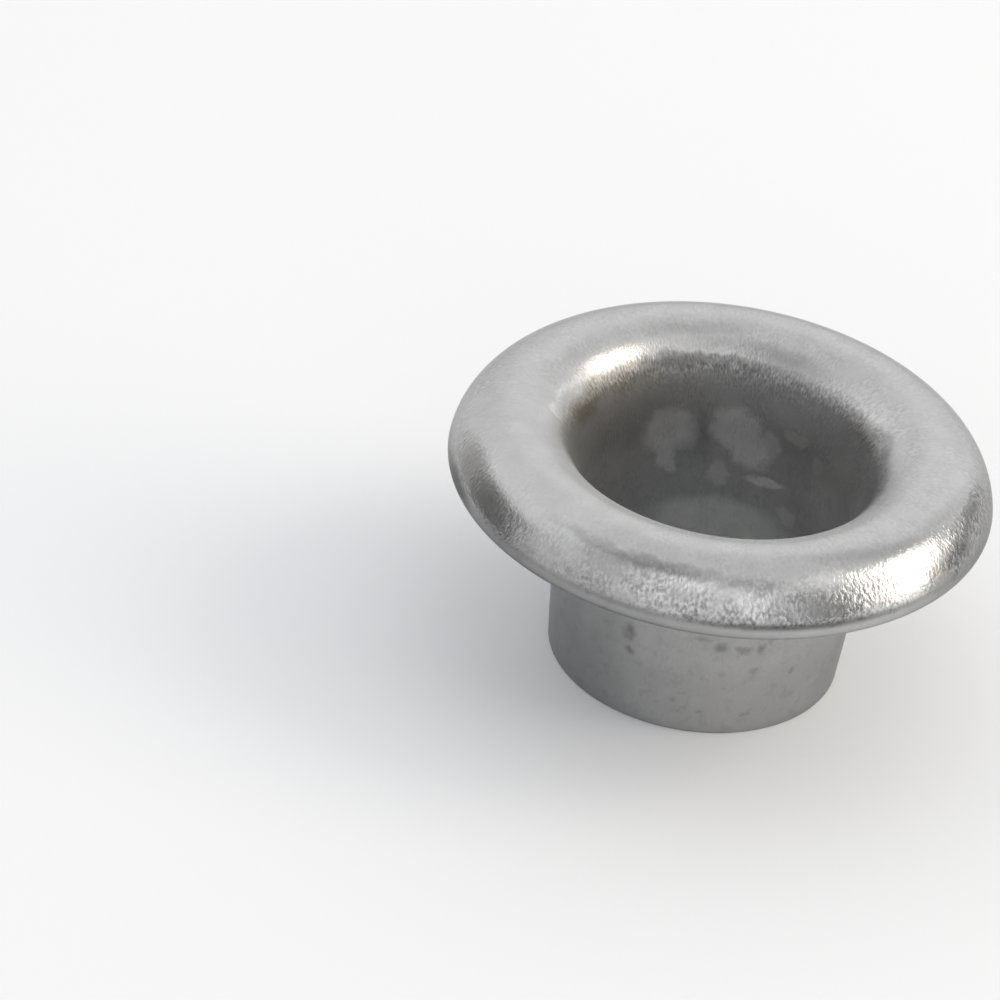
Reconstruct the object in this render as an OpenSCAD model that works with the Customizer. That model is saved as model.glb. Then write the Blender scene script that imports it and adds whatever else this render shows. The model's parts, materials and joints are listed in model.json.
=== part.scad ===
// Eyelet, one piece of drawn sheet metal.
// A straight barrel flares through a throat bend into a rolled flange whose lip curls down.
// The whole section is the same sheet, bent; only the barrel's end is ironed a little thinner.
// Origin: centre of the barrel's end. +Z runs along the axis, towards the flange.

/* [Flange] */
// Outside diameter of the flange, over its lip
flange_d = 10; // [9.7:0.05:10]
// Diameter of the ring along which the crown, the rolled top of the flange, is highest
crown_d = 7.72; // [7.7:0.02:8.1]
// Outside radius of the crown's curve
crown_r = 1.15; // [1.14:0.01:1.3]

/* [Barrel] */
// Diameter of the finished hole
bore_d = 5; // [4.5:0.1:5.2]
// Radius of the wider bend from the crown into the bore
throat_r = 2.2; // [2:0.1:4]
// Height from the barrel's end to the top of the crown
height = 4.9; // [4.4:0.1:9]
// Length of the lead-in taper outside the barrel's end
taper_len = 1.4; // [0.6:0.1:1.8]
// How much the lead-in taper takes off the barrel's radius at its end
taper_in = 0.1; // [0.02:0.01:0.12]

/* [Sheet] */
// Thickness of the sheet
sheet_t = 0.3; // [0.25:0.05:0.35]
// Radius that tumbling leaves on the edges of the barrel's end
edge_r = 0.05; // [0.02:0.01:0.06]

/* [Hidden] */
$fn = 180;

// Half of each diameter, measured from the axis
flange_r = flange_d / 2;
bore_r = bore_d / 2;
barrel_r = bore_r + sheet_t;
end_r = barrel_r - taper_in;

// The lip is rounded over the full sheet, so its radius is half the thickness
lip_r = sheet_t / 2;
crown_mid_r = crown_r - lip_r;

// Centre of the crown's arcs: distance from the axis, and height
crown_x = crown_d / 2;
crown_z = height - crown_r;

// How far the crown's curve stops short of pointing straight down at the lip
lip_angle = acos((flange_r - lip_r - crown_x) / crown_mid_r);

// Centre of the throat's arcs: tangent to the bore wall, and to the crown from within
throat_x = bore_r + throat_r;
throat_drop = sqrt(pow(throat_r - crown_r, 2) - pow(throat_x - crown_x, 2));
throat_z = crown_z - throat_drop;

// Direction in which crown and throat meet, seen from either centre
join_angle = atan2(throat_drop, crown_x - throat_x);

// The sector between two angles, with its tip at the origin, larger than the section
module wedge(from, to) {
    mid = (from + to) / 2;
    polygon([
        [0, 0],
        flange_d * [cos(from), sin(from)],
        flange_d * [cos(mid), sin(mid)],
        flange_d * [cos(to), sin(to)]
    ]);
}

// All that lies under the sheet's upper face, or a depth below that face:
// the crown's disc, the throat's part of a wider disc, and the space outside the bore
module under_face(depth) {
    translate([crown_x, crown_z]) circle(r = crown_r - depth);
    translate([throat_x, throat_z]) intersection() {
        circle(r = throat_r - depth);
        wedge(join_angle, 180);
    }
    translate([bore_r + depth, edge_r - depth])
        square([throat_x - bore_r, throat_z - edge_r + depth]);
}

// What the lead-in taper takes off the outside of the barrel
module taper_waste() {
    outside = barrel_r + sheet_t;
    polygon([
        [end_r, 0],
        [end_r, edge_r],
        [barrel_r, taper_len],
        [outside, taper_len],
        [outside, 0]
    ]);
}

// The sheet's section on one side of the axis, before its two ends are rounded
module bent_sheet() {
    difference() {
        under_face(0);
        under_face(sheet_t);
        taper_waste();
        // Past the lip
        translate([crown_x, crown_z]) wedge(-90, lip_angle);
    }
}

// Full round on the flange's lip
module lip_round() {
    translate([crown_x, crown_z])
        translate(crown_mid_r * [cos(lip_angle), sin(lip_angle)])
            circle(r = lip_r);
}

// Flat end face of the barrel between two small rounded edges
module barrel_end() {
    inner_x = bore_r + edge_r;
    outer_x = end_r - edge_r;
    for (x = [inner_x, outer_x]) translate([x, edge_r]) circle(r = edge_r);
    translate([inner_x, 0]) square([outer_x - inner_x, 2 * edge_r]);
}

module eyelet() {
    color("#b9b8b4")
    rotate_extrude() {
        bent_sheet();
        lip_round();
        barrel_end();
    }
}

eyelet();
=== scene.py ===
"""The eyelet, dressed and lit: drawn brass sheet, nickel plated and tumbled with steel shot.

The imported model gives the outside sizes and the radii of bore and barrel, and the bends repeat its
source. The sheet's section is drawn as a chain of straight runs and bends, then turned about the
axis into one closed shell. The plate's grain, sheen and stains follow the distance along the sheet,
so each stretch of the section has its own finish.
"""

import json
import logging
import math
from dataclasses import dataclass, field
from enum import Enum
from typing import Any

import bpy
import numpy as np
from bpy.types import Material, Mesh, Node, NodeSocket, NodeTree, Object, World
from mathutils import Matrix, Quaternion, Vector


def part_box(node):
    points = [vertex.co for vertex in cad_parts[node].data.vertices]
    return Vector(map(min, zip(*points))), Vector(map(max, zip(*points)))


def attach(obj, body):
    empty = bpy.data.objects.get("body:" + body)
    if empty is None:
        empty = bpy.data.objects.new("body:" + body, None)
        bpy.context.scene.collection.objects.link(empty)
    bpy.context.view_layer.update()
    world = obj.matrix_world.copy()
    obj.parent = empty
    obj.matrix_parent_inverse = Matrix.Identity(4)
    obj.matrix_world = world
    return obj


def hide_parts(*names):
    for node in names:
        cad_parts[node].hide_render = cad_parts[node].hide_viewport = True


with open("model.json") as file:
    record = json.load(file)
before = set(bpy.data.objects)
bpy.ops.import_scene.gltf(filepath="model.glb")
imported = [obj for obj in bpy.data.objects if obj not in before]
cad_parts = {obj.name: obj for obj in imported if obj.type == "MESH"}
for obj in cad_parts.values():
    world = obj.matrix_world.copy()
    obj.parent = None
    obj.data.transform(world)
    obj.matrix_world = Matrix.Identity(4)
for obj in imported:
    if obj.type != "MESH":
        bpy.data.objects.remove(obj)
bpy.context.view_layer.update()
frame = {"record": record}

LOG = logging.getLogger("eyelet")

MM = 0.001
MICROMETRE = 0.000001
FULL_TURN = 2 * math.pi
CAD_NODE = "eyelet"
ROOT_BODY = "root"
SHEET_MAP = "sheet_map"
SHEET_POINT = "sheet_mm"
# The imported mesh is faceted, so its sizes in millimetres are true to this many digits
SIZE_DIGITS = 2
# The sRGB standard's curve for the values of a byte: a straight foot, and a power past its knee
FULL_BYTE = 255
SRGB_KNEE = 0.04045
SRGB_FOOT = 12.92
SRGB_OFFSET = 0.055
SRGB_POWER = 2.4
# The middle of a noise's range, and the octaves of a slow, a frayed and a cloudy noise
NOISE_MIDDLE = 0.5
SLOW_DETAIL = 1.0
FRAYED_DETAIL = 3.0
CLOUDY_DETAIL = 4.0
# How far a plane of size 1 reaches from its centre
PLANE_REACH = 0.5


def linear(hex_colour: str) -> tuple[float, float, float, float]:
    """Turns an sRGB hex colour into a linear one.

    Args:
        hex_colour: a hash and six hex digits, such as "#c0bebb".

    Returns:
        Linear red, green and blue, with an alpha of 1.
    """
    channels = [int(hex_colour[i:i + 2], 16) / FULL_BYTE for i in (1, 3, 5)]
    red, green, blue = (
        c / SRGB_FOOT if c <= SRGB_KNEE else ((c + SRGB_OFFSET) / (1 + SRGB_OFFSET)) ** SRGB_POWER
        for c in channels
    )
    return red, green, blue, 1.0


def add_node(tree: NodeTree, kind: str, inputs: dict[str | int, Any] | None = None,
             **settings: Any) -> Node:
    """Adds a shader node with its settings, input values and links.

    Args:
        tree: the node tree that takes the node.
        kind: the node's type, without the "ShaderNode" that each type starts with.
        inputs: for each input, by name or number, its value or the output that feeds it.
        settings: the node's own settings, such as operation="ADD".

    Returns:
        The new node.
    """
    node = tree.nodes.new("ShaderNode" + kind)
    for name, value in settings.items():
        setattr(node, name, value)
    for socket, value in (inputs or {}).items():
        if isinstance(value, NodeSocket):
            tree.links.new(value, node.inputs[socket])
        else:
            node.inputs[socket].default_value = value
    return node


def deselect_all() -> None:
    """Leaves nothing selected, in object mode."""
    if bpy.context.object and bpy.context.object.mode != "OBJECT":
        bpy.ops.object.mode_set(mode="OBJECT")
    bpy.ops.object.select_all(action="DESELECT")


def towards(azimuth: float, elevation: float) -> Vector:
    """Gives the direction to a point of the room, as seen from the eyelet.

    Args:
        azimuth: degrees round the eyelet, 0 on the camera's side and growing to the right.
        elevation: degrees above the floor.

    Returns:
        A unit vector.
    """
    across, up = math.radians(azimuth), math.radians(elevation)
    return Vector((math.sin(across) * math.cos(up), -math.cos(across) * math.cos(up), math.sin(up)))


class Stretch(Enum):
    """The stretches of the sheet's section, in the order in which it is drawn."""

    INNER_EDGE = "inner edge of the barrel's end"
    BORE = "bore wall"
    THROAT = "bend from the bore into the flange"
    CROWN = "rolled top of the flange"
    LIP = "rounded edge of the flange"
    CROWN_INSIDE = "underside of the crown"
    THROAT_INSIDE = "bend from the flange into the barrel"
    BARREL = "straight outside of the barrel"
    TAPER = "lead-in taper"
    OUTER_EDGE = "outer edge of the barrel's end"
    END = "end face of the barrel"


# How many edges draw each stretch, closest where the sheet bends most in view
EDGES = {
    Stretch.INNER_EDGE: 5,
    Stretch.BORE: 16,
    Stretch.THROAT: 16,
    Stretch.CROWN: 48,
    Stretch.LIP: 16,
    Stretch.CROWN_INSIDE: 32,
    Stretch.THROAT_INSIDE: 12,
    Stretch.BARREL: 10,
    Stretch.TAPER: 8,
    Stretch.OUTER_EDGE: 5,
}


@dataclass
class SheetSection:
    """One side of the eyelet's section, in millimetres: x from the axis, z from the barrel's end."""

    flange_r: float
    height: float
    bore_r: float
    barrel_r: float
    crown_r: float = 1.15
    crown_x: float = 3.86
    throat_r: float = 2.2
    taper_length: float = 1.4
    taper_in: float = 0.1
    edge_r: float = 0.05
    starts: dict[Stretch, float] = field(default_factory=dict)
    length: float = 0.0

    @classmethod
    def from_frame(cls) -> "SheetSection":
        """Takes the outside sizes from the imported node's box and the radii from its mounts.

        Returns:
            The section, not drawn yet.
        """
        low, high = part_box(CAD_NODE)
        radii = {mount["name"]: mount["dims"].get("r_mm") for mount in frame["record"]["mounts"]}
        return cls(
            flange_r=round(high.x / MM, SIZE_DIGITS),
            height=round((high.z - low.z) / MM, SIZE_DIGITS),
            bore_r=radii["bore"],
            barrel_r=radii["barrel"],
        )

    @property
    def sheet(self) -> float:
        """The sheet's thickness."""
        return self.barrel_r - self.bore_r

    def share_at(self, stretch: Stretch, part: float) -> float:
        """Gives a place along the drawn section as a share of the section's length.

        Args:
            stretch: the stretch that holds the place.
            part: the share of the way along that stretch.

        Returns:
            The share of the way along the whole section.
        """
        bounds = [*self.starts.values(), self.length]
        index = list(self.starts).index(stretch)
        start, end = bounds[index], bounds[index + 1]
        return (start + part * (end - start)) / self.length

    def draw(self) -> Object:
        """Draws the section as a closed chain of edges in the XZ plane, in millimetres.

        Returns:
            The object that holds the chain, in edit mode.
        """
        lip_r = self.sheet / 2
        crown_z = self.height - self.crown_r
        middle_r = self.crown_r - lip_r
        lip_turn = math.acos((self.flange_r - lip_r - self.crown_x) / middle_r)
        lip_x = self.crown_x + middle_r * math.cos(lip_turn)
        lip_z = crown_z + middle_r * math.sin(lip_turn)
        throat_x = self.bore_r + self.throat_r
        gap = self.throat_r - self.crown_r
        throat_z = crown_z - math.sqrt(gap ** 2 - (throat_x - self.crown_x) ** 2)
        join = math.atan2(crown_z - throat_z, self.crown_x - throat_x)
        throat_turn = math.pi - join
        crown_turn = join - lip_turn
        end_r = self.barrel_r - self.taper_in
        quarter = math.pi / 2

        self._start(self.bore_r + self.edge_r, 0)
        self._bend(Stretch.INNER_EDGE, self.bore_r + self.edge_r, self.edge_r, quarter)
        self._run(Stretch.BORE, 0, throat_z - self.edge_r)
        self._bend(Stretch.THROAT, throat_x, throat_z, throat_turn)
        self._bend(Stretch.CROWN, self.crown_x, crown_z, crown_turn)
        self._bend(Stretch.LIP, lip_x, lip_z, math.pi)
        self._bend(Stretch.CROWN_INSIDE, self.crown_x, crown_z, -crown_turn)
        self._bend(Stretch.THROAT_INSIDE, throat_x, throat_z, -throat_turn)
        self._run(Stretch.BARREL, 0, self.taper_length - throat_z)
        self._run(Stretch.TAPER, -self.taper_in, self.edge_r - self.taper_length)
        self._bend(Stretch.OUTER_EDGE, end_r - self.edge_r, self.edge_r, quarter)
        return self._close()

    def _start(self, x: float, z: float) -> None:
        """Starts the chain with one vertex, a plane merged at its centre and moved into place.

        Args:
            x: the vertex's distance from the axis.
            z: its height.
        """
        deselect_all()
        bpy.ops.mesh.primitive_plane_add(size=1, calc_uvs=False, location=(0, 0, 0))
        bpy.ops.object.mode_set(mode="EDIT")
        bpy.ops.mesh.merge(type="CENTER")
        bpy.ops.transform.translate(value=(x, 0, z))

    def _run(self, stretch: Stretch, dx: float, dz: float) -> None:
        """Extrudes the chain's last vertex along a straight run.

        Args:
            stretch: the stretch that the run draws.
            dx: how far the run goes from the axis.
            dz: how far the run goes up.
        """
        self._note(stretch)
        step = (dx / EDGES[stretch], 0, dz / EDGES[stretch])
        for _ in range(EDGES[stretch]):
            bpy.ops.mesh.extrude_vertices_move(TRANSFORM_OT_translate={"value": step})

    def _bend(self, stretch: Stretch, x: float, z: float, turn: float) -> None:
        """Spins the chain's last vertex about the centre of a bend.

        Args:
            stretch: the stretch that the bend draws.
            x: the centre's distance from the axis.
            z: the centre's height.
            turn: the angle in radians, clockwise as the section is drawn.
        """
        self._note(stretch)
        bpy.ops.mesh.spin(steps=EDGES[stretch], angle=-turn, center=(x, 0, z), axis=(0, 1, 0))

    def _note(self, stretch: Stretch) -> None:
        """Notes how many edges the chain has where a stretch starts."""
        bpy.context.object.update_from_editmode()
        self.starts[stretch] = len(bpy.context.object.data.edges)

    def _close(self) -> Object:
        """Joins the chain's two ends, and turns the noted counts into distances along the sheet.

        Returns:
            The object that holds the closed chain, in edit mode.
        """
        self._note(Stretch.END)
        bpy.ops.object.mode_set(mode="OBJECT")
        chain = bpy.context.object
        order = self._walk(chain.data)
        points = [chain.data.vertices[index].co for index in order]
        distance = [0.0]
        for before, after in zip(points[:-1], points[1:]):
            distance.append(distance[-1] + (after - before).length)
        mark = chain.data.attributes.new(SHEET_POINT, "FLOAT", "POINT")
        for index, value in zip(order, distance):
            mark.data[index].value = value
        self.length = distance[-1] + (points[0] - points[-1]).length
        self.starts = {stretch: distance[count] for stretch, count in self.starts.items()}
        for vertex in chain.data.vertices:
            vertex.select = vertex.index in (order[0], order[-1])
        bpy.ops.object.mode_set(mode="EDIT")
        bpy.ops.mesh.edge_face_add()
        return chain

    @staticmethod
    def _walk(mesh: Mesh) -> list[int]:
        """Lists the open chain's vertices from its first to its last, as they were drawn.

        Args:
            mesh: the chain's mesh.

        Returns:
            The vertices' indices.
        """
        beside: dict[int, list[int]] = {vertex.index: [] for vertex in mesh.vertices}
        for edge in mesh.edges:
            first, second = edge.vertices
            beside[first].append(second)
            beside[second].append(first)
        order = [0]
        while len(order) < len(beside):
            order += [index for index in beside[order[-1]] if index not in order[-2:]]
        return order


@dataclass(frozen=True)
class Surface:
    """The state of the plate at one place along the section.

    Part is the share of the way along the stretch. Streak and peel are heights of the relief in
    micrometres. Shade is the share of the plate's full brightness, and spots is the share of the
    dark specks' full strength. In places the shade is painted: it darkens the plate as painted shade
    and lifts it as painted light.
    """

    stretch: Stretch
    part: float
    roughness: float
    streak: float
    peel: float
    shade: float
    spots: float


@dataclass(frozen=True)
class Mark:
    """A soft-edged oval mark on the sheet.

    Turn is the angle about the axis in degrees, along is the distance from the start of a stretch
    in millimetres, and the two half sizes are in millimetres, the width's measured round the bore.
    Strength is the share of a full mark, and tilt leans the oval, in degrees.
    """

    turn: float
    along: float
    half_width: float
    half_length: float
    strength: float = 1.0
    tilt: float = 0.0


@dataclass(frozen=True)
class Patches:
    """A family of marks with like edges, each placed from the start of one stretch.

    Softness is the half width of a mark's fade, as a share of its half size. Ragged is the width of
    the band in which its edge strays, in millimetres.
    """

    stretch: Stretch
    softness: float
    ragged: float
    marks: tuple[Mark, ...]


@dataclass(frozen=True)
class PaintedShadeAndStain(Patches):
    """Patches that multiply the plate's colour by a tint: real stains, and painted shade."""

    tint: str


@dataclass(frozen=True)
class PaintedLightAndBloom(Patches):
    """Patches that make the plate brighter, by a gain: pale blotches, and painted light."""

    gain: float


@dataclass(frozen=True)
class Dulling(Patches):
    """Patches that the shot barely reached, where the plate keeps its first roughness."""

    roughness: float


@dataclass(frozen=True)
class Ground:
    """The node outputs that tell a place on the sheet, for patterns to be laid on.

    Place is in millimetres, around is the direction from the axis, and turn and along are the
    shares of a full turn and of the whole way along the section. Stray is a slow noise, centred on
    0, that makes the edges of marks ragged.
    """

    tree: NodeTree
    section: SheetSection
    place: NodeSocket
    around: NodeSocket
    turn: NodeSocket
    along: NodeSocket
    stray: NodeSocket

    @classmethod
    def lay(cls, tree: NodeTree, section: SheetSection, ragged_size: float) -> "Ground":
        """Lays the ground in a material.

        Args:
            tree: the material's node tree.
            section: the section, already drawn.
            ragged_size: the size of the noise that strays the edges, in millimetres.

        Returns:
            The ground.
        """
        place = add_node(tree, "VectorMath", {
            0: add_node(tree, "TexCoord").outputs["Object"],
            "Scale": 1 / MM,
        }, operation="SCALE").outputs[0]
        flat = add_node(tree, "VectorMath", {0: place, 1: (1, 1, 0)}, operation="MULTIPLY")
        around = add_node(tree, "VectorMath", {0: flat.outputs[0]}, operation="NORMALIZE")
        sheet = add_node(tree, "SeparateXYZ", {0: add_node(tree, "UVMap", uv_map=SHEET_MAP).outputs[0]})
        noise = add_node(tree, "TexNoise", {
            "Vector": place,
            "Scale": 1 / ragged_size,
            "Detail": FRAYED_DETAIL,
        })
        stray = add_node(tree, "VectorMath", {
            0: noise.outputs["Color"],
            1: (NOISE_MIDDLE, NOISE_MIDDLE, NOISE_MIDDLE),
        }, operation="SUBTRACT")
        return cls(tree, section, place, around.outputs[0], sheet.outputs["X"], sheet.outputs["Y"],
                   stray.outputs[0])

    def add(self, kind: str, inputs: dict[str | int, Any], **settings: Any) -> NodeSocket:
        """Adds a node to the ground's tree and gives its first output."""
        return add_node(self.tree, kind, inputs, **settings).outputs[0]

    def mask(self, patches: Patches) -> NodeSocket:
        """Gives the output that is 1 on any of a family's marks and fades to 0 past their edges.

        Args:
            patches: the family of marks.

        Returns:
            The mask's output.
        """
        round_bore = FULL_TURN * self.section.bore_r
        length = self.section.length
        shaken = self.add("VectorMath", {
            0: self.stray,
            1: (patches.ragged / round_bore, patches.ragged / length, 0),
            2: self.add("CombineXYZ", {0: self.turn, 1: self.along}),
        }, operation="MULTIPLY_ADD")
        start = self.section.share_at(patches.stretch, 0.0)
        mask: NodeSocket | float = 0.0
        for mark in patches.marks:
            local = self.add("Mapping", {
                "Vector": shaken,
                "Location": (math.radians(mark.turn) / FULL_TURN, start + mark.along / length, 0),
                "Rotation": (0, 0, math.radians(mark.tilt)),
                "Scale": (mark.half_width / round_bore, mark.half_length / length, 1),
            }, vector_type="TEXTURE")
            reach = add_node(self.tree, "VectorMath", {0: local}, operation="LENGTH").outputs["Value"]
            fade = self.add("MapRange", {
                "Value": reach,
                "From Min": 1 - patches.softness,
                "From Max": 1 + patches.softness,
                "To Min": mark.strength,
                "To Max": 0.0,
            }, interpolation_type="SMOOTHSTEP")
            mask = self.add("Math", {0: fade, 1: mask}, operation="MAXIMUM")
        return mask


@dataclass(frozen=True)
class NickelPlate:
    """Bright nickel on drawn brass, tumbled with shot.

    Drawing pulls the brass's grain out along the section, which leaves short streaks round the
    crown, deepest on its two slopes. Shot reaches the crown and the lip and makes them bright. It
    reaches the outside of the barrel less, which stays satin with dark pits, and leaves the bore
    dull and blotched. The real grain is finer than a pixel of the picture, so it is drawn coarser.
    Part of the colour is painted light and shade: the grain's valleys are darkened and its crests
    lit as painted glints, and patches lighten and darken the crown, lip, throat and barrel in place
    of their reflections.
    """

    # Nickel's grey, a little less bright where it is seen edge on
    plate: str = "#c9c9c9"
    edge_tint: str = "#d4d4d4"
    # The grain: streaks this wide and long, in millimetres, that sway by this many widths
    streak_width: float = 0.05
    streak_length: float = 0.085
    streak_sway: float = 1.4
    sway_size: float = 0.5
    streak_detail: float = 1.0
    streak_roughness: float = 0.5
    # How far the grain drags the border between two surfaces along the sheet, in millimetres
    drag: float = 0.3
    # How much a micrometre of depth darkens the grain's valleys as painted shade, and the crests'
    # share of that by which they are lit as painted glints
    depth_shade: float = 0.034
    glint_share: float = 0.6
    # The part of a noise's range that most of it lies in
    noise_low: float = 0.35
    noise_high: float = 0.65
    # Slow patches in which the grain is shallower or deeper, by these factors
    patch_size: float = 0.4
    patch_low: float = 0.5
    patch_high: float = 1.6
    # The side, in degrees about the axis, that the shot polished most: the cosines of the angle
    # from its middle between which the polish sets in, and the share of the grain that is left
    polished_side: float = 205.0
    polished_from: float = 0.62
    polished_to: float = 0.97
    polished_share: float = 0.3
    # Dimples that the shot leaves, and the sheet's own slow swell, in millimetres and micrometres
    peel_size: float = 0.06
    swell_size: float = 0.9
    swell_height: float = 5.0
    # Cloudy light and dark in the plate
    mottle_size: float = 0.45
    mottle_from: float = 0.3
    mottle_to: float = 0.7
    mottle_low: float = 0.94
    mottle_high: float = 1.03
    # Small dark specks
    spot_size: float = 0.2
    spot_from: float = 0.55
    spot_to: float = 0.8
    spot_dark: float = 0.12
    # The size of the noise that strays the marks' edges, in millimetres
    ragged_size: float = 0.29
    # The plate along the sheet, from the barrel's end up the bore and back down the outside. It is
    # darker down the throat and the bore, and in places below its shade is painted shade and painted light
    surfaces: tuple[Surface, ...] = (
        Surface(Stretch.INNER_EDGE, 0.0, 0.5, 0.0, 1.0, 0.62, 0.3),
        Surface(Stretch.BORE, 0.0, 0.62, 1.0, 2.0, 0.72, 0.4),
        Surface(Stretch.BORE, 0.9, 0.62, 2.0, 2.0, 0.68, 0.4),
        Surface(Stretch.THROAT, 0.3, 0.66, 3.0, 2.0, 0.52, 0.3),
        Surface(Stretch.THROAT, 0.65, 0.66, 3.0, 2.0, 0.42, 0.1),
        Surface(Stretch.THROAT, 0.85, 0.62, 3.6, 2.0, 0.44, 0.1),
        Surface(Stretch.CROWN, 0.0, 0.42, 3.2, 2.0, 0.82, 0.0),
        # Lifted above the plate's tone as painted light at the crown's inner edge
        Surface(Stretch.CROWN, 0.06, 0.3, 3.2, 2.0, 1.05, 0.0),
        Surface(Stretch.CROWN, 0.15, 0.26, 3.0, 2.0, 1.01, 0.0),
        Surface(Stretch.CROWN, 0.24, 0.21, 2.4, 1.5, 0.96, 0.0),
        Surface(Stretch.CROWN, 0.34, 0.17, 1.5, 0.8, 0.94, 0.0),
        Surface(Stretch.CROWN, 0.58, 0.17, 1.5, 0.8, 0.96, 0.0),
        Surface(Stretch.CROWN, 0.72, 0.24, 5.5, 2.5, 1.0, 0.0),
        Surface(Stretch.CROWN, 0.82, 0.27, 7.8, 4.2, 0.98, 0.0),
        Surface(Stretch.CROWN, 0.94, 0.27, 7.8, 4.2, 0.94, 0.0),
        # The crown's foot and the lip darkened as painted shade, for a dark reflection along the lip
        Surface(Stretch.CROWN, 0.965, 0.24, 1.0, 0.5, 0.76, 0.0),
        Surface(Stretch.LIP, 0.5, 0.24, 0.0, 0.3, 0.76, 0.0),
        # The crown's underside, the barrel and its taper darkened as painted shade under the flange
        Surface(Stretch.CROWN_INSIDE, 0.2, 0.35, 1.0, 1.0, 0.72, 0.5),
        Surface(Stretch.BARREL, 0.0, 0.42, 1.0, 1.0, 0.72, 1.0),
        Surface(Stretch.TAPER, 0.9, 0.42, 1.0, 1.0, 0.74, 1.0),
        Surface(Stretch.END, 0.0, 0.4, 0.0, 1.0, 0.68, 0.3),
    )
    # The crown's inner slope on the camera's side
    dulling: Dulling = Dulling(Stretch.CROWN, 0.4, 0.1, (
        Mark(-90, 0.25, 3.6, 0.5),
    ), roughness=0.6)
    painted_light_and_blooms: tuple[PaintedLightAndBloom, ...] = (
        # The pale blotches of the bore and of the slope over it, and painted light that lifts the bore's
        # far and right walls, the throat, the crown's inner rim and a bar on its front slope
        PaintedLightAndBloom(Stretch.BORE, 0.35, 0.35, (
            Mark(113, 3.12, 0.5, 0.44, tilt=10),
            Mark(113, 2.6, 0.2, 0.3, 0.8),
            Mark(110, 2.3, 0.14, 0.2, 0.8),
            Mark(84, 3.2, 0.5, 0.44),
            Mark(76, 2.85, 0.36, 0.4, tilt=15),
            Mark(69, 3.05, 0.22, 0.25, 0.6),
            Mark(57, 3.45, 0.3, 0.14, 0.5),
            Mark(68, 2.26, 0.38, 0.1, tilt=-12),
            Mark(89, 2.18, 0.16, 0.3, 0.5),
            Mark(43, 3.15, 0.18, 0.18, 0.5),
            Mark(55, 1.72, 0.22, 0.18, 0.4),
            Mark(84, 1.15, 1.3, 0.5, 0.7),
            Mark(14, 2.8, 1.3, 1.4, 0.5),
            Mark(52, 3.85, 0.9, 0.4, 0.25),
            Mark(172, 4.68, 0.7, 0.2, 0.5),
            Mark(-81, 6.62, 0.15, 0.35, 0.4),
            Mark(-60, 2.2, 0.5, 0.4, tilt=30),
            Mark(-110, 2.8, 0.35, 0.5),
            Mark(160, 1.9, 0.4, 0.3),
        ), gain=1.55),
        # Painted highlights on the brightest stretches of the crown's slope, down to its crease
        PaintedLightAndBloom(Stretch.CROWN, 0.6, 0.12, (
            Mark(-45, 2.4, 0.3, 0.12, 0.5),
            Mark(-63, 1.78, 0.3, 0.14, 0.35),
            Mark(-70, 2.2, 0.4, 0.2, 0.22),
            Mark(-101, 1.97, 0.5, 0.12, 0.45),
            Mark(-127, 1.65, 0.6, 0.4, 0.15),
        ), gain=1.6),
    )
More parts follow.
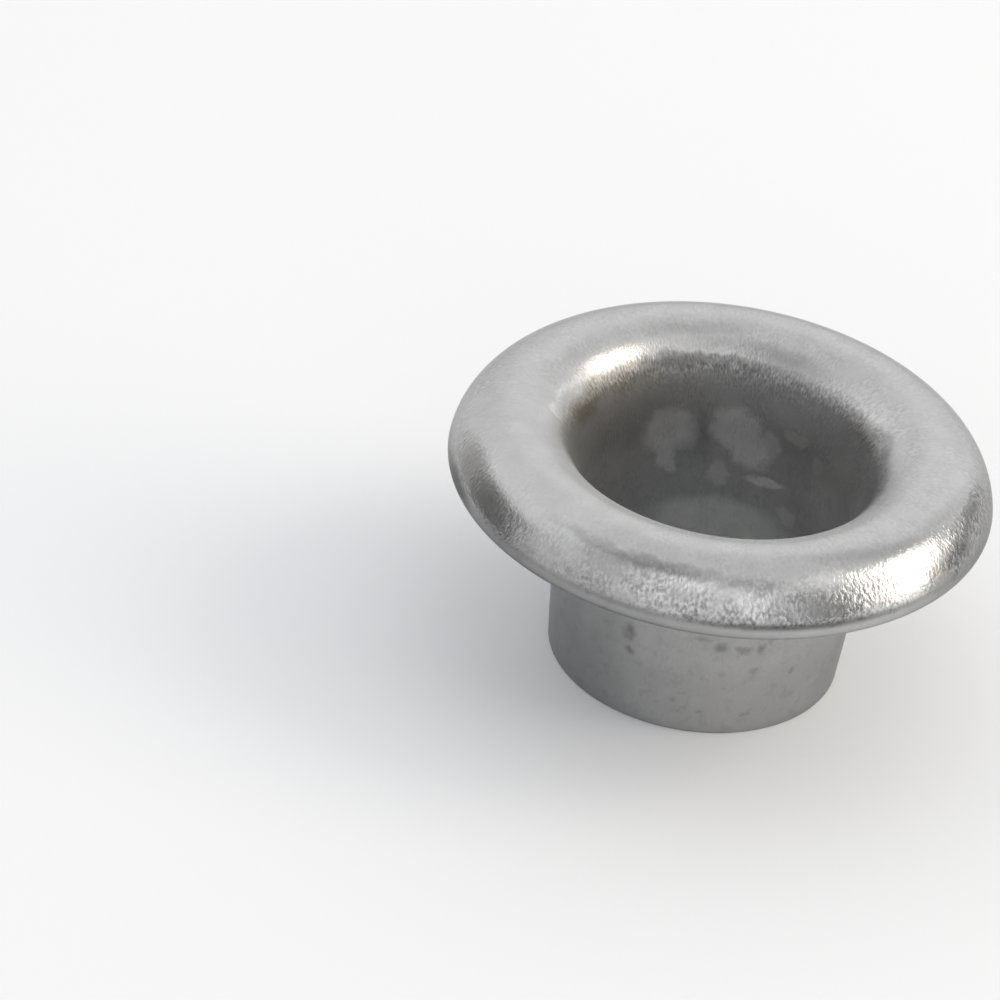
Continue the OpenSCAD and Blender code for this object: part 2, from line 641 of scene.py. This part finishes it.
    painted_shade_and_stains: tuple[PaintedShadeAndStain, ...] = (
        # Pits on the barrel
        PaintedShadeAndStain(Stretch.BARREL, 0.9, 0.35, (
            Mark(-117, 1.24, 0.08, 0.15),
            Mark(-115, 1.62, 0.06, 0.08),
            Mark(-89, 0.97, 0.08, 0.07, 0.7),
            Mark(-82, 1.14, 0.1, 0.09, tilt=20),
            Mark(-73, 1.16, 0.09, 0.07, 0.8),
            Mark(-66, 1.14, 0.07, 0.09, tilt=-20),
            Mark(-62, 1.02, 0.07, 0.07, 0.6),
            Mark(-68, 1.66, 0.07, 0.07, 0.6),
            Mark(-51, 1.8, 0.08, 0.08, 0.6),
            Mark(-97, 2.44, 0.06, 0.06, 0.5),
            Mark(-85, 2.6, 0.06, 0.06, 0.5),
            Mark(-69, 2.68, 0.06, 0.06, 0.5),
        ), tint="#cfcecd"),
        # Painted shade on the barrel's left side and front-left
        PaintedShadeAndStain(Stretch.BARREL, 0.8, 0.35, (
            Mark(-135, 1.3, 1.0, 2.4, 0.75),
            Mark(-104, 1.0, 0.9, 1.4, 0.3),
        ), tint="#d2d2d1"),
        # Brass that shows through the thin plate of the throat
        PaintedShadeAndStain(Stretch.THROAT, 0.8, 0.35, (
            Mark(159, 1.12, 0.4, 0.17, 0.85),
            Mark(138, 1.16, 0.7, 0.13, 0.35),
            Mark(26, 1.22, 0.3, 0.12, 0.3),
        ), tint="#d6cdb8"),
        # Painted shade on the throat's far and left sides, which darkens the lamp's glow there
        PaintedShadeAndStain(Stretch.THROAT, 0.9, 0.35, (
            Mark(142, 0.7, 1.2, 0.62, 0.65),
            Mark(98, -0.1, 0.18, 0.45, 0.45),
        ), tint="#c4c4c3"),
        # Smuts on the crown, partly real and partly painted shade: they darken its reflections beside the
        # lamp's highlight, along the lip and round the throat's rim
        PaintedShadeAndStain(Stretch.CROWN, 0.6, 0.35, (
            Mark(100, 0.0, 1.4, 0.13, 0.65),
            Mark(126, -0.1, 0.5, 0.12, 0.4),
            Mark(141, 0.0, 0.6, 0.13, 0.5),
            Mark(155, 0.5, 0.9, 0.3, 0.15),
            Mark(78, 0.3, 1.0, 0.2, 0.25),
            Mark(15, 0.12, 0.4, 0.16, 0.45),
            Mark(-91, 2.28, 0.5, 0.25, 0.12),
            Mark(-61, 2.38, 0.12, 0.16, 0.3),
            Mark(-30, 2.5, 0.25, 0.1, 0.3),
            Mark(-112, 2.44, 0.4, 0.18, 0.25),
            Mark(-138, 2.5, 0.4, 0.2, 0.3),
            Mark(-107, 1.72, 0.85, 0.12, 0.4),
            Mark(-82, 1.86, 0.3, 0.12, 0.4),
            Mark(102, 0.62, 0.6, 0.15, 0.18),
            Mark(-34, 2.36, 0.25, 0.25, 0.35),
            Mark(-29, 2.27, 0.34, 0.18, 0.7),
            Mark(-112, 2.1, 0.35, 0.45, 0.12),
            Mark(-67, 2.2, 0.25, 0.3, 0.2),
            Mark(-162, 2.64, 0.35, 0.16, 0.7),
        ), tint="#8c8c8b"),
        # A faint line of painted shade along which the crown's flat top turns down beside the lamp's
        # reflection
        PaintedShadeAndStain(Stretch.CROWN, 0.95, 0.08, (
            Mark(-38, 1.6, 1.2, 0.13, 0.35, tilt=15),
            Mark(-23, 1.6, 0.5, 0.13, 0.3, tilt=10),
        ), tint="#8c8c8b"),
        # Painted shade on the lip's left and right sides, darkening its reflections there
        PaintedShadeAndStain(Stretch.LIP, 0.7, 0.1, (
            Mark(-136, 0.2, 2.2, 0.4, 0.9),
            Mark(-14, -0.15, 1.0, 0.5, 0.65),
        ), tint="#c0c0bf"),
        # Painted shade along the crease in which the crown's slope meets the lip
        PaintedShadeAndStain(Stretch.CROWN, 0.9, 0.03, (
            Mark(-72, 2.57, 1.0, 0.06, 0.9),
            Mark(-92, 2.59, 1.8, 0.05, 0.35),
        ), tint="#8c8c8b"),
    )

    def make(self, section: SheetSection) -> Material:
        """Makes the material for a sheet of a given section.

        Args:
            section: the section, already drawn, whose stretches carry the surfaces.

        Returns:
            The material.
        """
        material = bpy.data.materials.new("tumbled_nickel_plate")
        material.use_nodes = True
        material.node_tree.nodes.clear()
        ground = Ground.lay(material.node_tree, section, self.ragged_size)
        grain = self._grain(ground)
        dragged = ground.add("Math", {
            0: ground.add("Math", {0: grain, 1: NOISE_MIDDLE}, operation="SUBTRACT"),
            1: self.drag / section.length,
            2: ground.along,
        }, operation="MULTIPLY_ADD")
        levels = {
            quality: self._profile(ground, dragged, quality)
            for quality in ("roughness", "streak", "peel", "shade", "spots")
        }
        levels["streak"] = self._depth(ground, levels["streak"])
        shader = add_node(ground.tree, "BsdfPrincipled", {
            "Base Color": self._colour(ground, grain, levels),
            "Metallic": 1.0,
            "Roughness": ground.add("MapRange", {
                "Value": ground.mask(self.dulling),
                "To Min": levels["roughness"],
                "To Max": self.dulling.roughness,
            }),
            "Specular Tint": linear(self.edge_tint),
            "Normal": self._relief(ground, grain, levels),
        })
        add_node(ground.tree, "OutputMaterial", {"Surface": shader.outputs["BSDF"]})
        return material

    def _profile(self, ground: Ground, along: NodeSocket, quality: str) -> NodeSocket:
        """Gives the output that follows one quality of the surfaces along the sheet.

        Args:
            ground: the places on the sheet.
            along: the output that holds the share of the way along the sheet.
            quality: the name of the surfaces' field.

        Returns:
            The output that holds the quality's value.
        """
        peak = max(getattr(surface, quality) for surface in self.surfaces)
        ramp = add_node(ground.tree, "ValToRGB", {0: along})
        elements = ramp.color_ramp.elements
        while len(elements) < len(self.surfaces):
            elements.new(1.0)
        for element, surface in zip(elements, self.surfaces):
            element.position = ground.section.share_at(surface.stretch, surface.part)
            level = getattr(surface, quality) / peak
            element.color = (level, level, level, 1)
        return ground.add("Math", {0: ramp.outputs[0], 1: peak}, operation="MULTIPLY")

    def _grain(self, ground: Ground) -> NodeSocket:
        """Gives the drawn streaks: a noise wound round the axis and run along the sheet.

        Args:
            ground: the places on the sheet.

        Returns:
            The output that holds the streaks' height, from 0 to 1.
        """
        wound = ground.add("VectorMath", {
            0: ground.around,
            "Scale": ground.section.crown_x / self.streak_width,
        }, operation="SCALE")
        run = ground.add("Math", {
            0: ground.along,
            1: ground.section.length / self.streak_length,
        }, operation="MULTIPLY")
        rise = ground.add("CombineXYZ", {2: run})
        straight = ground.add("VectorMath", {0: wound, 1: rise}, operation="ADD")
        bends = {"Vector": ground.place, "Scale": 1 / self.sway_size, "Detail": SLOW_DETAIL}
        sway = add_node(ground.tree, "TexNoise", bends)
        swayed = ground.add("VectorMath", {
            0: sway.outputs["Color"],
            1: (self.streak_sway, self.streak_sway, self.streak_sway),
            2: straight,
        }, operation="MULTIPLY_ADD")
        return ground.add("TexNoise", {
            "Vector": swayed,
            "Scale": 1.0,
            "Detail": self.streak_detail,
            "Roughness": self.streak_roughness,
        })

    def _depth(self, ground: Ground, depth: NodeSocket) -> NodeSocket:
        """Varies the streaks' depth: patchy all round, and mostly polished away on one side.

        Args:
            ground: the places on the sheet.
            depth: the output that holds the depth along the sheet, in micrometres.

        Returns:
            The output that holds the varied depth, in micrometres.
        """
        patches = {"Vector": ground.place, "Scale": 1 / self.patch_size, "Detail": SLOW_DETAIL}
        deeper = ground.add("MapRange", {
            "Value": ground.add("TexNoise", patches),
            "From Min": self.noise_low,
            "From Max": self.noise_high,
            "To Min": self.patch_low,
            "To Max": self.patch_high,
        })
        side = math.radians(self.polished_side)
        facing = add_node(ground.tree, "VectorMath", {
            0: ground.around,
            1: (math.cos(side), math.sin(side), 0),
        }, operation="DOT_PRODUCT").outputs["Value"]
        polish = ground.add("MapRange", {
            "Value": facing,
            "From Min": self.polished_from,
            "From Max": self.polished_to,
            "To Min": 1.0,
            "To Max": self.polished_share,
        })
        for factor in (deeper, polish):
            depth = ground.add("Math", {0: depth, 1: factor}, operation="MULTIPLY")
        return depth

    def _relief(self, ground: Ground, grain: NodeSocket, levels: dict[str, NodeSocket]) -> NodeSocket:
        """Gives the normal of the plate's relief: drawn streaks, shot peel and a slow swell.

        Args:
            ground: the places on the sheet.
            grain: the output that holds the streaks' height, from 0 to 1.
            levels: the output of each quality of the surfaces.

        Returns:
            The output that holds the normal.
        """
        height = ground.add("Math", {0: grain, 1: levels["streak"]}, operation="MULTIPLY")
        for size, depth in ((self.peel_size, levels["peel"]), (self.swell_size, self.swell_height)):
            bumps = {"Vector": ground.place, "Scale": 1 / size, "Detail": SLOW_DETAIL}
            height = ground.add("Math", {0: ground.add("TexNoise", bumps), 1: depth, 2: height},
                                operation="MULTIPLY_ADD")
        return ground.add("Bump", {"Strength": 1.0, "Distance": MICROMETRE, "Height": height})

    def _colour(self, ground: Ground, grain: NodeSocket, levels: dict[str, NodeSocket]) -> NodeSocket:
        """Gives the plate's colour: shaded along the sheet, mottled, specked, bloomed and stained, with
        painted light and shade.

        Args:
            ground: the places on the sheet.
            grain: the output that holds the streaks' height, from 0 to 1.
            levels: the output of each quality of the surfaces.

        Returns:
            The output that holds the colour.
        """
        clouds = {"Vector": ground.place, "Scale": 1 / self.mottle_size, "Detail": CLOUDY_DETAIL}
        mottle = ground.add("MapRange", {
            "Value": ground.add("TexNoise", clouds),
            "From Min": self.mottle_from,
            "From Max": self.mottle_to,
            "To Min": self.mottle_low,
            "To Max": self.mottle_high,
        })
        # Pale blotches, and painted light where patches are lifted
        painted_light_and_blooms = [
            ground.add("MapRange", {"Value": ground.mask(brightening), "To Min": 1.0, "To Max": brightening.gain})
            for brightening in self.painted_light_and_blooms
        ]
        spots = {"Vector": ground.place, "Scale": 1 / self.spot_size, "Detail": SLOW_DETAIL}
        specks = ground.add("MapRange", {
            "Value": ground.add("TexNoise", spots),
            "From Min": self.spot_from,
            "From Max": self.spot_to,
            "To Min": 0.0,
            "To Max": self.spot_dark,
        })
        # Painted shade in the grain's valleys and painted glints on its crests
        valley_shade_and_glints = ground.add("MapRange", {
            "Value": grain,
            "From Min": self.noise_low,
            "From Max": self.noise_high,
            "To Min": self.depth_shade,
            "To Max": -self.glint_share * self.depth_shade,
        })
        # The shade along the sheet, in places painted shade and painted light
        level = levels["shade"]
        for factor in (
            mottle,
            *painted_light_and_blooms,
            self._less(ground, specks, levels["spots"]),
            self._less(ground, valley_shade_and_glints, levels["streak"]),
        ):
            level = ground.add("Math", {0: level, 1: factor}, operation="MULTIPLY")
        colour = ground.add("VectorMath", {0: linear(self.plate)[:3], "Scale": level}, operation="SCALE")
        for tinting in self.painted_shade_and_stains:
            colour = ground.add("MixRGB", {0: ground.mask(tinting), 1: colour, 2: linear(tinting.tint)},
                                blend_type="MULTIPLY")
        return colour

    @staticmethod
    def _less(ground: Ground, first: NodeSocket, second: NodeSocket) -> NodeSocket:
        """Gives the output of 1 less the product of two outputs."""
        product = ground.add("Math", {0: first, 1: second}, operation="MULTIPLY")
        return ground.add("Math", {0: 1.0, 1: product}, operation="SUBTRACT")


@dataclass
class Eyelet:
    """The whole eyelet, one piece of sheet."""

    section: SheetSection
    finish: NickelPlate
    sides: int = 480

    def build(self) -> Object:
        """Turns the section about the axis, dresses the shell and ties it to the CAD body.

        Returns:
            The finished piece.
        """
        piece = self.section.draw()
        piece.name = "plated_eyelet"
        piece.data.name = piece.name
        bpy.ops.object.mode_set(mode="OBJECT")
        bpy.ops.object.modifier_add(type="SCREW")
        lathe = piece.modifiers[-1]
        lathe.axis = "Z"
        lathe.angle = FULL_TURN
        lathe.steps = self.sides
        lathe.render_steps = self.sides
        bpy.ops.object.modifier_apply(modifier=lathe.name)
        bpy.ops.object.mode_set(mode="EDIT")
        bpy.ops.mesh.select_all(action="SELECT")
        bpy.ops.mesh.remove_doubles(threshold=MICROMETRE / MM)
        bpy.ops.mesh.normals_make_consistent(inside=False)
        bpy.ops.transform.resize(value=(MM, MM, MM), center_override=(0, 0, 0))
        bpy.ops.object.mode_set(mode="OBJECT")
        bpy.ops.object.shade_smooth()
        self._map(piece.data)
        piece.data.materials.clear()
        piece.data.materials.append(self.finish.make(self.section))
        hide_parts(CAD_NODE)
        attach(piece, ROOT_BODY)
        return piece

    def _map(self, mesh: Mesh) -> None:
        """Writes the UV map: the turn about the axis, and the share of the way along the sheet.

        Args:
            mesh: the shell, of four-sided faces, whose vertices carry the distance along the sheet.
        """
        length = self.section.length
        places = np.empty(3 * len(mesh.vertices))
        along = np.empty(len(mesh.vertices))
        corners = np.empty(len(mesh.loops), np.int32)
        mesh.vertices.foreach_get("co", places)
        mesh.attributes[SHEET_POINT].data.foreach_get("value", along)
        mesh.loops.foreach_get("vertex_index", corners)
        x, y, _ = places.reshape(-1, 3)[corners.reshape(-1, 4)].transpose(2, 0, 1)
        # A face's corners stay together where the turn starts again
        turn = np.arctan2(y, x)
        middle = np.arctan2(y.mean(axis=1), x.mean(axis=1))[:, None]
        turn -= FULL_TURN * np.round((turn - middle) / FULL_TURN)
        # The faces that close the section run on to its full length
        distance = along[corners.reshape(-1, 4)]
        closing = np.ptp(distance, axis=1, keepdims=True) > length / 2
        distance = np.where(closing & (distance == 0), length, distance)
        sheet_map = np.stack((turn / FULL_TURN, distance / length), axis=-1)
        mesh.uv_layers.new(name=SHEET_MAP).data.foreach_set("uv", sheet_map.ravel())
        mesh.attributes.remove(mesh.attributes[SHEET_POINT])


@dataclass(frozen=True)
class StudioFloor:
    """A sheet of matt white card that the eyelet stands on.

    Very rough and with hardly any gloss, it takes soft shadows and mirrors nothing. Its radius, and
    its drop below the barrel's end, are in metres.
    """

    radius: float = 1.0
    sides: int = 96
    colour: str = "#fafcff"
    roughness: float = 0.95
    specular: float = 0.1
    drop: float = MICROMETRE

    def build(self) -> Object:
        """Lays the card under the eyelet.

        Returns:
            The card.
        """
        deselect_all()
        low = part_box(CAD_NODE)[0].z - self.drop
        bpy.ops.mesh.primitive_circle_add(vertices=self.sides, radius=self.radius, fill_type="NGON",
                                          location=(0, 0, low))
        card = bpy.context.object
        card.name = "white_card"
        material = bpy.data.materials.new("matt_white_card")
        material.use_nodes = True
        shader = material.node_tree.nodes["Principled BSDF"]
        shader.inputs["Base Color"].default_value = linear(self.colour)
        shader.inputs["Roughness"].default_value = self.roughness
        shader.inputs["Specular IOR Level"].default_value = self.specular
        card.data.materials.append(material)
        return card


@dataclass(frozen=True)
class GreyFlag:
    """A small soft-edged felt flag left of the eyelet, which the flange's side mirrors as a dark patch.

    It is seen by reflections only, so it takes no light from the floor. Azimuth is in degrees, and
    distance, width and height are in metres. Softness is the width of the fade at its top and its
    sides, as a share of each size.
    """

    azimuth: float
    distance: float
    width: float
    height: float
    softness: float
    colour: str

    def build(self) -> Object:
        """Stands the flag on the floor, facing the eyelet.

        Returns:
            The flag.
        """
        deselect_all()
        outwards = towards(self.azimuth, 0)
        turn = outwards.to_track_quat("Z", "Y").to_euler()
        place = outwards * self.distance
        place.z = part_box(CAD_NODE)[0].z + self.height / 2
        bpy.ops.mesh.primitive_plane_add(size=1, location=place, rotation=turn)
        flag = bpy.context.object
        flag.name = "grey_flag"
        flag.scale = (self.width, self.height, 1)
        flag.visible_camera = False
        flag.visible_diffuse = False
        flag.visible_shadow = False
        flag.data.materials.append(self._felt())
        return flag

    def _felt(self) -> Material:
        """Makes the flag's material: matt felt that thins out towards its top and its sides.

        Returns:
            The material.
        """
        material = bpy.data.materials.new("matt_grey_felt")
        material.use_nodes = True
        tree = material.node_tree
        tree.nodes.clear()
        place = add_node(tree, "SeparateXYZ", {0: add_node(tree, "TexCoord").outputs["Object"]})
        side = add_node(tree, "Math", {0: place.outputs["X"]}, operation="ABSOLUTE")
        fades = [
            add_node(tree, "MapRange", {
                "Value": way.outputs[name],
                "From Min": PLANE_REACH - self.softness,
                "From Max": PLANE_REACH,
                "To Min": 1.0,
                "To Max": 0.0,
            }, interpolation_type="SMOOTHSTEP").outputs[0]
            for way, name in ((side, 0), (place, "Y"))
        ]
        cover = add_node(tree, "Math", {0: fades[0], 1: fades[1]}, operation="MULTIPLY")
        felt = add_node(tree, "BsdfDiffuse", {"Color": linear(self.colour), "Roughness": 1.0})
        thinned = add_node(tree, "MixShader", {
            0: cover.outputs[0],
            1: add_node(tree, "BsdfTransparent").outputs[0],
            2: felt.outputs[0],
        })
        add_node(tree, "OutputMaterial", {"Surface": thinned.outputs[0]})
        return material


# A paler flag partly behind a darker one, as the eyelet sees them
FLAGS = (
    GreyFlag(-114, 0.0215, 0.0085, 0.016, 0.3, "#bcbdbd"),
    GreyFlag(-91.5, 0.0205, 0.0142, 0.0155, 0.25, "#767778"),
)


@dataclass(frozen=True)
class SoftLamp:
    """A softbox at one side, slightly warmer than the room.

    Its angles are in degrees, and lean turns it about the line to the eyelet. Its distance and sizes
    are in metres.
    """

    azimuth: float = 93
    elevation: float = 28
    lean: float = 26
    distance: float = 0.3
    width: float = 0.135
    height: float = 0.27
    watts: float = 0.38
    colour: str = "#fff1de"

    def build(self) -> Object:
        """Hangs the lamp so that it faces the eyelet.

        Returns:
            The lamp.
        """
        deselect_all()
        place = towards(self.azimuth, self.elevation) * self.distance
        lean = Quaternion(place, -math.radians(self.lean))
        turn = (lean @ place.to_track_quat("Z", "Y")).to_euler()
        bpy.ops.object.light_add(type="AREA", location=place, rotation=turn)
        lamp = bpy.context.object
        lamp.name = "softbox"
        lamp.data.shape = "RECTANGLE"
        lamp.data.size = self.width
        lamp.data.size_y = self.height
        lamp.data.energy = self.watts
        lamp.data.color = linear(self.colour)[:3]
        return lamp


@dataclass(frozen=True)
class Card:
    """A large soft-edged card in the room, placed and sized in degrees as the eyelet sees it."""

    azimuth: float
    elevation: float
    half_width: float
    half_height: float
    softness: float
    colour: str


@dataclass(frozen=True)
class StudioRoom:
    """Pale walls round the eyelet: brightest behind it, greyer on the camera's side."""

    behind: str = "#ffffff"
    above: str = "#e2e2e2"
    camera_side: str = "#d8d8d9"
    strength: float = 1.06
    # How far to the back, and how high, a direction points where one wall starts to give way to
    # the next, and where it has
    back_from: float = -0.6
    back_to: float = 0.8
    high_from: float = 0.5
    high_to: float = 1.0
    cards: tuple[Card, ...] = (
        Card(-146, 18, 20, 22, 12, "#ececec"),
        Card(-46, 62, 26, 18, 8, "#bebebe"),
        Card(-70, 20, 18, 8, 5, "#cecece"),
        Card(-14, 25, 22, 13, 6, "#f0f0f0"),
        Card(8, 42, 14, 28, 8, "#ffffff"),
        Card(10, 0, 60, 4, 5, "#b0b0b0"),
        Card(-28, 8, 12, 7, 4, "#ffffff"),
        Card(50, 18, 11, 28, 5, "#9a9a9a"),
        Card(70, 3, 8, 7, 4, "#ffffff"),
        Card(126, 8, 14, 10, 5, "#949494"),
    )

    def build(self) -> World:
        """Paints the room on the world by direction.

        Returns:
            The world.
        """
        world = bpy.data.worlds.new("studio_room")
        bpy.context.scene.world = world
        world.use_nodes = True
        tree = world.node_tree
        tree.nodes.clear()
        way = add_node(tree, "SeparateXYZ", {0: add_node(tree, "TexCoord").outputs["Generated"]})
        side = add_node(tree, "MapRange", {
            "Value": way.outputs["Y"],
            "From Min": self.back_from,
            "From Max": self.back_to,
        }, interpolation_type="SMOOTHSTEP")
        wall = add_node(tree, "MixRGB", {
            0: side.outputs[0],
            1: linear(self.camera_side),
            2: linear(self.behind),
        })
        height = add_node(tree, "MapRange", {
            "Value": way.outputs["Z"],
            "From Min": self.high_from,
            "From Max": self.high_to,
        }, interpolation_type="SMOOTHSTEP")
        colour = add_node(tree, "MixRGB", {0: height.outputs[0], 1: wall.outputs[0], 2: linear(self.above)})
        depth = add_node(tree, "Math", {0: way.outputs["Y"], 1: -1.0}, operation="MULTIPLY")
        azimuth = add_node(tree, "Math", {0: way.outputs["X"], 1: depth.outputs[0]}, operation="ARCTAN2")
        elevation = add_node(tree, "Math", {0: way.outputs["Z"]}, operation="ARCSINE")
        for card in self.cards:
            mask = self._mask(tree, card, azimuth.outputs[0], elevation.outputs[0])
            colour = add_node(tree, "MixRGB", {0: mask, 1: colour.outputs[0], 2: linear(card.colour)})
        light = add_node(tree, "Background", {"Color": colour.outputs[0], "Strength": self.strength})
        add_node(tree, "OutputWorld", {"Surface": light.outputs[0]})
        return world

    def _mask(self, tree: NodeTree, card: Card, azimuth: NodeSocket, elevation: NodeSocket) -> NodeSocket:
        """Gives the output that is 1 on a card and fades to 0 past its edges.

        Args:
            tree: the world's node tree.
            card: the card.
            azimuth: the output that holds a direction's azimuth, in radians.
            elevation: the output that holds its elevation, in radians.

        Returns:
            The mask's output.
        """
        spans = (
            (azimuth, card.azimuth, card.half_width),
            (elevation, card.elevation, card.half_height),
        )
        sides = []
        for angle, centre, half in spans:
            off = add_node(tree, "Math", {0: angle, 1: math.radians(centre)}, operation="SUBTRACT")
            distance = add_node(tree, "Math", {0: off.outputs[0]}, operation="ABSOLUTE")
            fade = add_node(tree, "MapRange", {
                "Value": distance.outputs[0],
                "From Min": math.radians(half - card.softness),
                "From Max": math.radians(half + card.softness),
                "To Min": 1.0,
                "To Max": 0.0,
            }, interpolation_type="SMOOTHSTEP")
            sides.append(fade.outputs[0])
        return add_node(tree, "Math", {0: sides[0], 1: sides[1]}, operation="MULTIPLY").outputs[0]


@dataclass(frozen=True)
class ProductCamera:
    """A long lens that looks down on the flange and is rolled a little.

    Elevation and roll are in degrees, aim height and sensor in millimetres, and far clip in metres.
    The axis, at the aim's height, is seen at a given pixel of the square picture, at a given scale.
    """

    elevation: float = 34.15
    roll: float = 8.03
    picture: int = 1000
    focal_pixels: float = 6000
    pixels_per_mm: float = 54.91
    seen_at: tuple[float, float] = (719.7, 480.1)
    aim_height: float = 3.75
    sensor: float = 36.0
    far_clip: float = 10.0

    def build(self) -> Object:
        """Sets the camera up and makes it the scene's camera.

        Returns:
            The camera.
        """
        back = towards(0, self.elevation)
        level_right = Vector((1, 0, 0))
        level_up = back.cross(level_right)
        roll = math.radians(self.roll)
        right = level_right * math.cos(roll) + level_up * math.sin(roll)
        up = level_up * math.cos(roll) - level_right * math.sin(roll)
        off_right = (self.seen_at[0] - self.picture / 2) / self.pixels_per_mm
        off_down = (self.seen_at[1] - self.picture / 2) / self.pixels_per_mm
        distance = self.focal_pixels / self.pixels_per_mm
        aim = Vector((0, 0, self.aim_height))
        place = (aim + back * distance - right * off_right + up * off_down) * MM
        turn = Matrix((right, up, back)).transposed()
        deselect_all()
        bpy.ops.object.camera_add(location=place, rotation=turn.to_euler())
        camera = bpy.context.object
        camera.name = "product_camera"
        camera.data.sensor_width = self.sensor
        camera.data.lens = self.focal_pixels * self.sensor / self.picture
        camera.data.clip_start = MM
        camera.data.clip_end = self.far_clip
        bpy.context.scene.camera = camera
        return camera


def main() -> None:
    """Builds the camera, the room with all in it and the eyelet, and reports each."""
    logging.basicConfig(level=logging.INFO, format="%(name)s: %(message)s")
    bpy.context.scene.view_settings.view_transform = "Standard"
    camera = ProductCamera().build()
    LOG.info("%s, %.0f mm from the eyelet", camera.name, camera.location.length / MM)
    for surrounding in (StudioRoom(), SoftLamp(), StudioFloor(), *FLAGS):
        LOG.info("%s", surrounding.build().name)
    piece = Eyelet(SheetSection.from_frame(), NickelPlate()).build()
    LOG.info("%s with %d faces", piece.name, len(piece.data.polygons))


if __name__ == "__main__":
    main()
